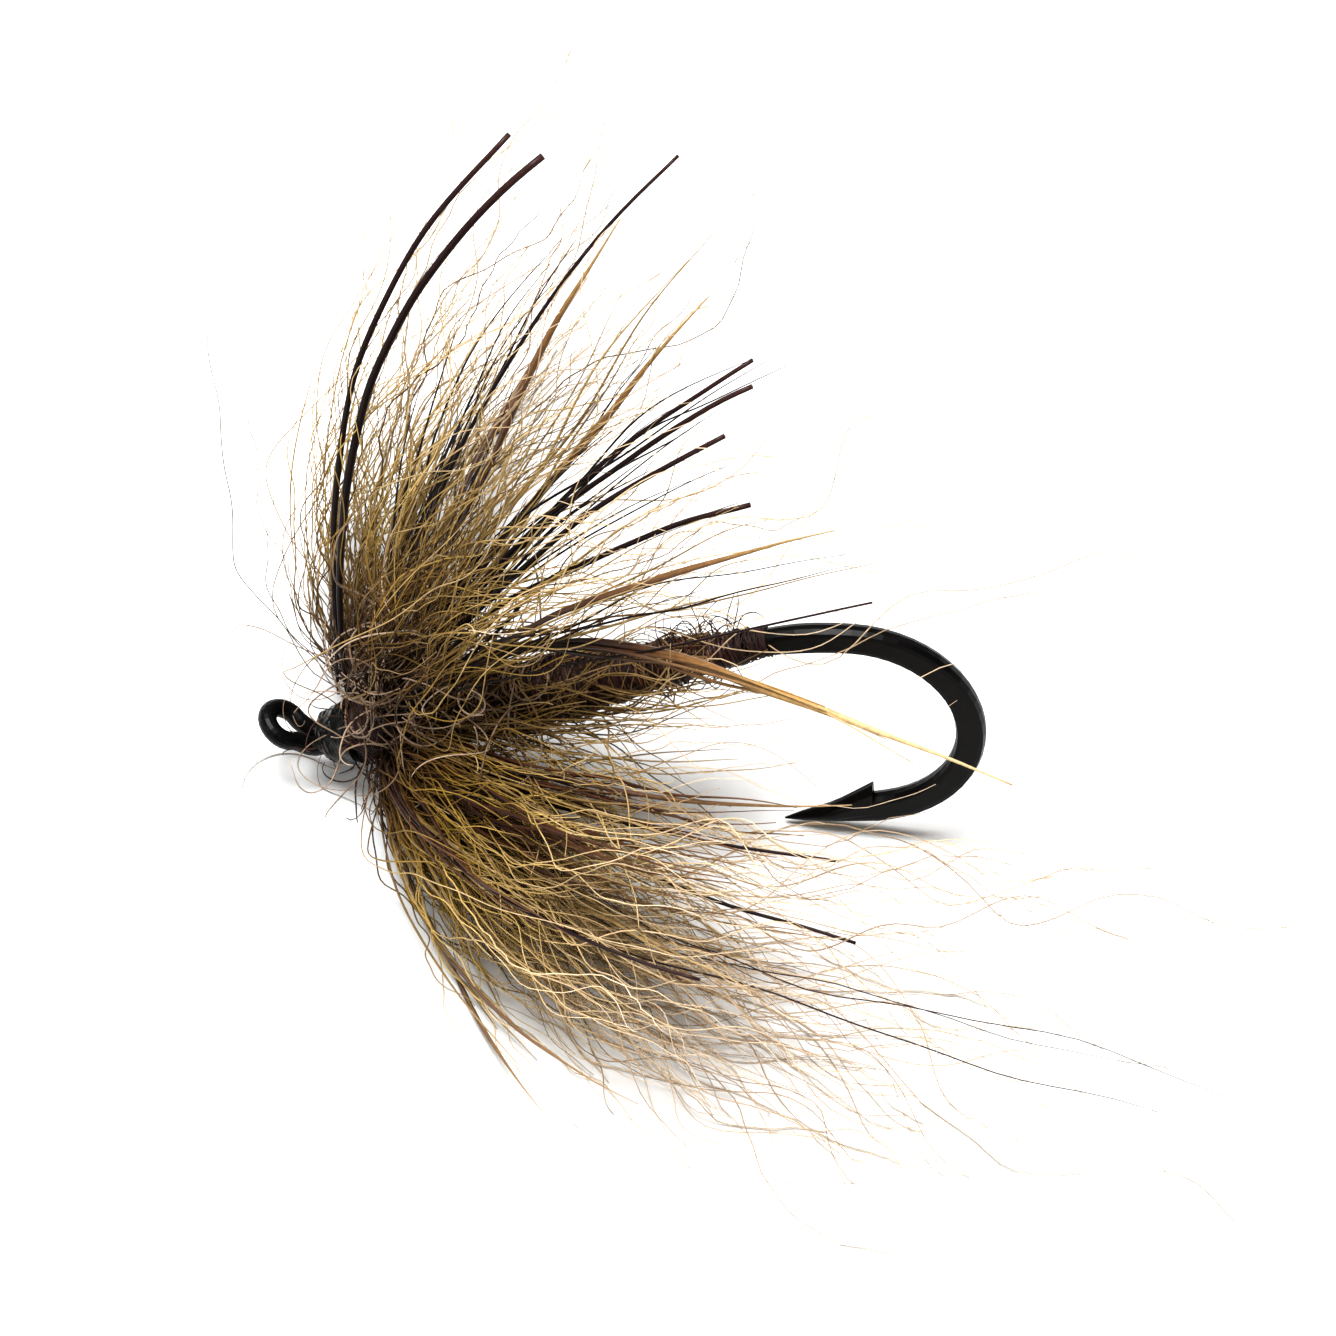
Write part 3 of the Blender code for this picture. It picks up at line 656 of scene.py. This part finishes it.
def walks(rng, count, points, span, length, heading, lift, limits, curve=0.15):
    """Fibres laid on the body, each keeping to the skin of the body within limits along the shank."""
    x = rng.uniform(*span, count)
    phi = rng.uniform(0, math.tau, count)
    step = rng.uniform(*length, count) / (points - 1)
    course = rng.uniform(*heading, count) * rng.choice([-1, 1], count)
    turn = rng.normal(0, curve, count) / MM
    base, rise = rng.uniform(*lift[0], count), rng.uniform(*lift[1], count)
    peak = rng.uniform(0.4, 1.2, count)
    lines = np.zeros((count, points, 3))
    for k in range(points):
        arch = np.sin(math.pi * np.clip(k / (points - 1) / peak, 0, 1)) ** 1.3
        radius = np.maximum(skin_radius(x) + base + rise * arch, SHANK_RADIUS)
        lines[:, k] = np.stack([x, radius * np.sin(phi), radius * np.cos(phi)], axis=1)
        course = course + turn * step
        ahead = x + np.cos(course) * step
        course = np.where((ahead < limits[0]) | (ahead > limits[1]), math.pi - course, course)
        x = np.clip(ahead, *limits)
        phi = phi + np.sin(course) * step / radius
    return hook_frame(lines.reshape(-1, 3)).reshape(count, points, 3)


def body_fibres(name, rng, lines, size, sides, mat, tones, replaced=()):
    """Turns fibre lines into a piece that rides on the hook."""
    count, points, _ = lines.shape
    radii = fine_radii(rng, count, points, size, 0.5)
    lines = lay_on_table(lines, radii)
    obj = tubes(name, lines, radii, sides, mat, rng.uniform(*tones, count))
    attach(obj, ROOT)
    if replaced:
        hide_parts(*replaced)


def build_abdomen():
    """Rope of spun dubbing wound round the shank, with fibres lying round it and standing off."""
    rng = np.random.default_rng(SEED + 20)
    low, high = along_shank("abdomen_dubbing_rope")
    limits = (low, high + 0.42 * MM)
    core = walks(rng, 260, 20, limits, (2.0 * MM, 4.0 * MM), (1.40, 1.62),
                 ((-0.24 * MM, -0.09 * MM), (0.0, 0.03 * MM)), limits, 0.03)
    body_fibres("abdomen_rope", rng, core, 0.075 * MM, 6, dark_dubbing_mat, (0.1, 0.7),
                ["abdomen_dubbing_rope"])
    for name, count, length, heading, lift, size, mat, tones in (
            ("abdomen_dark_fibres", 560, (0.6, 1.8), (1.35, 1.75), ((-0.09, -0.03), (0.0, 0.04)),
             0.016, dark_dubbing_mat, (0.0, 1.0)),
            ("abdomen_golden_fibres", 300, (0.35, 1.3), (1.2, 1.85), ((-0.09, -0.02), (0.0, 0.06)),
             0.0150, gold_dubbing_mat, (0.0, 0.7)),
            ("abdomen_fuzz", 90, (0.6, 2.2), (0.2, 1.3), ((-0.06, 0.0), (0.05, 0.36)),
             0.0130, gold_dubbing_mat, (0.0, 0.8)),
            ("abdomen_long_hair", 26, (2.5, 6.0), (0.0, 0.40), ((-0.04, 0.05), (0.10, 0.50)),
             0.0190, gold_dubbing_mat, (0.2, 1.0))):
        lines = walks(rng, count, 14, limits, np.array(length) * MM, heading,
                      np.array(lift) * MM, limits, 0.5)
        lines = wavy(rng, lines, ((0.9 * MM, 0.14),), 0.2 * MM)
        body_fibres(name, rng, lines, size * MM, 4, mat, tones)


def loose_curls(rng, count, centre, spread, length, curl, points=44):
    """Curls in free air that start sideways on a hollow cloud of the given half sizes."""
    outward = unit(rng.normal(size=(count, 3)))
    starts = hook_frame(centre + outward * spread * rng.uniform(0.55, 1.0, (count, 1)))
    headings = np.cross(outward, rng.normal(size=(count, 3)))
    return wander(rng, starts, hook_frame(headings) - TIE_IN, length, curl, points)


def build_thorax():
    """Dark dubbed core under a tangle of curled grey-tan and brown fibres."""
    rng = np.random.default_rng(SEED + 30)
    low, high = along_shank("thorax_dubbing_ball")
    limits = (low, high + 0.1 * MM)
    core = walks(rng, 170, 22, limits, (2.0 * MM, 3.5 * MM), (1.3, 1.75),
                 ((-0.22 * MM, -0.08 * MM), (0.0, 0.04 * MM)), limits, 0.05)
    body_fibres("thorax_core", rng, core, 0.08 * MM, 6, dark_dubbing_mat, (0.0, 0.6),
                ["thorax_dubbing_ball"])
    for name, count, centre, spread, length, curl, size, mat, tones in (
            ("thorax_brown_tangle", 170, (0.5, 0, 0.1), (1.3, 1.0, 0.95), (0.8, 2.6), (0.3, 1.1), 0.018,
             dark_dubbing_mat, (0.2, 0.9)),
            ("thorax_tan_tangle", 140, (2.0, -0.1, 0.8), (2.5, 1.6, 1.25), (1.4, 4.6), (0.35, 1.3), 0.022,
             curl_mat, (0.0, 0.9)),
            ("loose_loops", 12, (-0.2, 0.7, 0.5), (0.5, 0.8, 0.6), (3.0, 6.0), (0.6, 1.5), 0.0115,
             curl_mat, (0.0, 0.4))):
        lines = loose_curls(rng, count, np.array(centre) * MM, np.array(spread) * MM,
                            np.array(length) * MM, np.array(curl) * MM)
        body_fibres(name, rng, lines, size * MM, 4, mat, tones)


def build_web():
    """Long golden hairs teased out of the dubbing, crossing one another on the near side."""
    rng = np.random.default_rng(SEED + 35)
    count = 90
    x = rng.uniform(0.8 * MM, 5.2 * MM, count)
    phi = rng.uniform(-2.5, -0.4, count)
    radius = skin_radius(x) * rng.uniform(0.8, 1.1, count)
    starts = hook_frame(np.stack([x, radius * np.sin(phi), radius * np.cos(phi)], axis=1))
    headings = REARWARD - 0.42 * ACROSS + 0.42 * rng.normal(size=(count, 3)) * (1, 1, 0.35)
    lines = wander(rng, starts, headings, (2.0 * MM, 7.0 * MM), (3 * MM, 12 * MM), 30, 0.16)
    lines = wavy(rng, lines, ((2.4 * MM, 0.12),))
    body_fibres("teased_golden_hair", rng, lines, 0.0165 * MM, 4, underfur_web_mat,
                (0.1, 1.0))


def build_rear_tuft():
    """Short curly dark fibres that stand up at the rear end of the body."""
    rng = np.random.default_rng(SEED + 40)
    low, high = along_shank("rear_fibre_tuft")
    count = 56
    x = rng.uniform(low - 0.9 * MM, high, count)
    phi = rng.uniform(-1.1, 1.1, count)
    radius = skin_radius(x) - 0.05 * MM
    starts = hook_frame(np.stack([x, radius * np.sin(phi), radius * np.cos(phi)], axis=1))
    headings = TOPWARD + 0.7 * rng.normal(size=(count, 3))
    lines = wander(rng, starts, headings, (0.5 * MM, 1.5 * MM), (0.15 * MM, 0.6 * MM), 24, 0.2)
    body_fibres("rear_curly_fibres", rng, lines, 0.0125 * MM, 4, dark_dubbing_mat,
                (0.0, 1.0), ["rear_fibre_tuft"])
    end = along_shank("rear_thread_wraps")[1]
    limits = (end - 0.5 * MM, end + 0.7 * REAR_TAPER)
    lines = walks(rng, 90, 26, limits, (1.0 * MM, 2.6 * MM), (1.3, 1.56),
                  ((-0.05 * MM, -0.01 * MM), (0.0, 0.04 * MM)), limits, 0.1)
    body_fibres("rear_taper_fibres", rng, lines, 0.016 * MM, 4, dark_dubbing_mat,
                (0.0, 0.5))


def build_head():
    """Varnished thread head: a short rough cone that widens from the eye to the hair."""
    low, high = along_shank("head_cement")
    low, high = low - 0.10 * MM, high + 0.24 * MM      # the coat covers the cement at both ends
    rings, sides = 60, 72
    share = np.linspace(0, 1, rings)[:, None]
    turn = np.linspace(0, math.tau, sides, endpoint=False)[None, :]
    x = low + (high - low) * share
    rounding = np.sqrt(1 - np.clip(1 - share / 0.2, 0, 1) ** 2)
    cone = (0.44 + 0.28 * share**0.8) * MM * (0.45 + 0.55 * rounding)
    thread_turn = 0.075 * MM
    ridges = (0.004 * MM * np.sin(math.tau * x / thread_turn + turn)
              * (0.5 + 0.5 * np.sin(2 * turn + 5 * share)))
    lumps = 0.030 * MM * (np.sin(3 * turn + 5 * share) + 0.7 * np.sin(5 * turn - 9 * share + 1)
                          + 0.5 * np.sin(8 * turn + 17 * share + 2))
    radius = cone + ridges + lumps
    grid = np.stack([np.repeat(x, sides, 1), radius * np.cos(turn), radius * np.sin(turn)], axis=-1)
    faces = [(a * sides + b, a * sides + (b + 1) % sides, (a + 1) * sides + (b + 1) % sides,
              (a + 1) * sides + b) for a in range(rings - 1) for b in range(sides)]
    faces += [tuple(range(sides))[::-1], tuple((rings - 1) * sides + b for b in range(sides))]
    mesh = bpy.data.meshes.new("head_varnish_coat")
    mesh.from_pydata([tuple(v) for v in hook_frame(grid.reshape(-1, 3))], [], faces)
    mesh.shade_smooth()
    mesh.materials.append(varnish_mat)
    obj = bpy.data.objects.new("head_varnish_coat", mesh)
    bpy.context.scene.collection.objects.link(obj)
    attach(obj, ROOT)
    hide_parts("head_cement")


build_abdomen()
build_thorax()
build_web()
build_rear_tuft()
build_head()

for node, mat in (("hook", steel_mat), ("thread_base", thread_mat), ("head_thread", thread_mat),
                  ("whip_finish", thread_mat), ("collar_thread", thread_mat),
                  ("rear_thread_wraps", red_thread_mat), ("hair_butts", dark_dubbing_mat)):
    data = frame["nodes"][node].data
    data.materials.clear()
    data.materials.append(mat)


# ------------------------------------------------------------------ stage, light and camera

TABLE_HALF_SIZE = 0.6
CAMERA_ELEVATION = math.radians(60)
CAMERA_DISTANCE = 0.30
WIDTH_SEEN = 28.5 * MM      # width of the view at the fly


def build_stage():
    mesh = bpy.data.meshes.new("table_top")
    size = TABLE_HALF_SIZE
    mesh.from_pydata([(-size, -size, 0), (size, -size, 0), (size, size, 0), (-size, size, 0)],
                     [], [(0, 1, 2, 3)])
    mat, nodes, links, shader = new_material("pale_table")
    tint = ramped(nodes, links, noise_node(nodes, links, TABLE_MOTTLE, 2.0),
                  ((0.3, (0.83, 0.845, 0.84)), (0.7, (0.86, 0.865, 0.86))))
    links.new(tint, shader.inputs["Base Color"])
    shader.inputs["Roughness"].default_value = 0.5
    mesh.materials.append(mat)
    floor = bpy.data.objects.new("table_top", mesh)
    bpy.context.scene.collection.objects.link(floor)


def area_light(name, place, aim, size, power):
    light = bpy.data.lights.new(name, "AREA")
    light.shape = "DISK"
    light.size = size
    light.energy = power
    obj = bpy.data.objects.new(name, light)
    bpy.context.scene.collection.objects.link(obj)
    obj.location = place
    obj.rotation_euler = (Vector(aim) - Vector(place)).to_track_quat("-Z", "Y").to_euler()


def build_light():
    world = bpy.data.worlds.new("studio")
    world.use_nodes = True
    background = world.node_tree.nodes["Background"]
    background.inputs["Color"].default_value = (1.0, 0.955, 0.90, 1.0)
    background.inputs["Strength"].default_value = 0.19
    bpy.context.scene.world = world
    area_light("overhead", (-0.02, 0.03, 0.13), (0, 0, 0), 0.075, 0.46)
    area_light("left_fill", (-0.12, -0.06, 0.07), (0, 0, 0.003), 0.08, 0.07)
    bpy.context.scene.view_settings.view_transform = "Standard"


def build_camera():
    """Looks along +Y from 60 degrees above the table, as the photograph does."""
    low, high = cad_box
    aim = Vector(((low.x + high.x) / 2 + 1.0 * MM, (low.y + high.y) / 2, 2.4 * MM))
    back = Vector((0, -math.cos(CAMERA_ELEVATION), math.sin(CAMERA_ELEVATION)))
    camera = bpy.data.cameras.new("camera")
    camera.lens = camera.sensor_width * CAMERA_DISTANCE / WIDTH_SEEN
    camera.clip_start = 0.002
    obj = bpy.data.objects.new("camera", camera)
    bpy.context.scene.collection.objects.link(obj)
    obj.location = aim + back * CAMERA_DISTANCE
    obj.rotation_euler = (-back).to_track_quat("-Z", "Y").to_euler()
    bpy.context.scene.camera = obj


build_stage()
build_light()
build_camera()
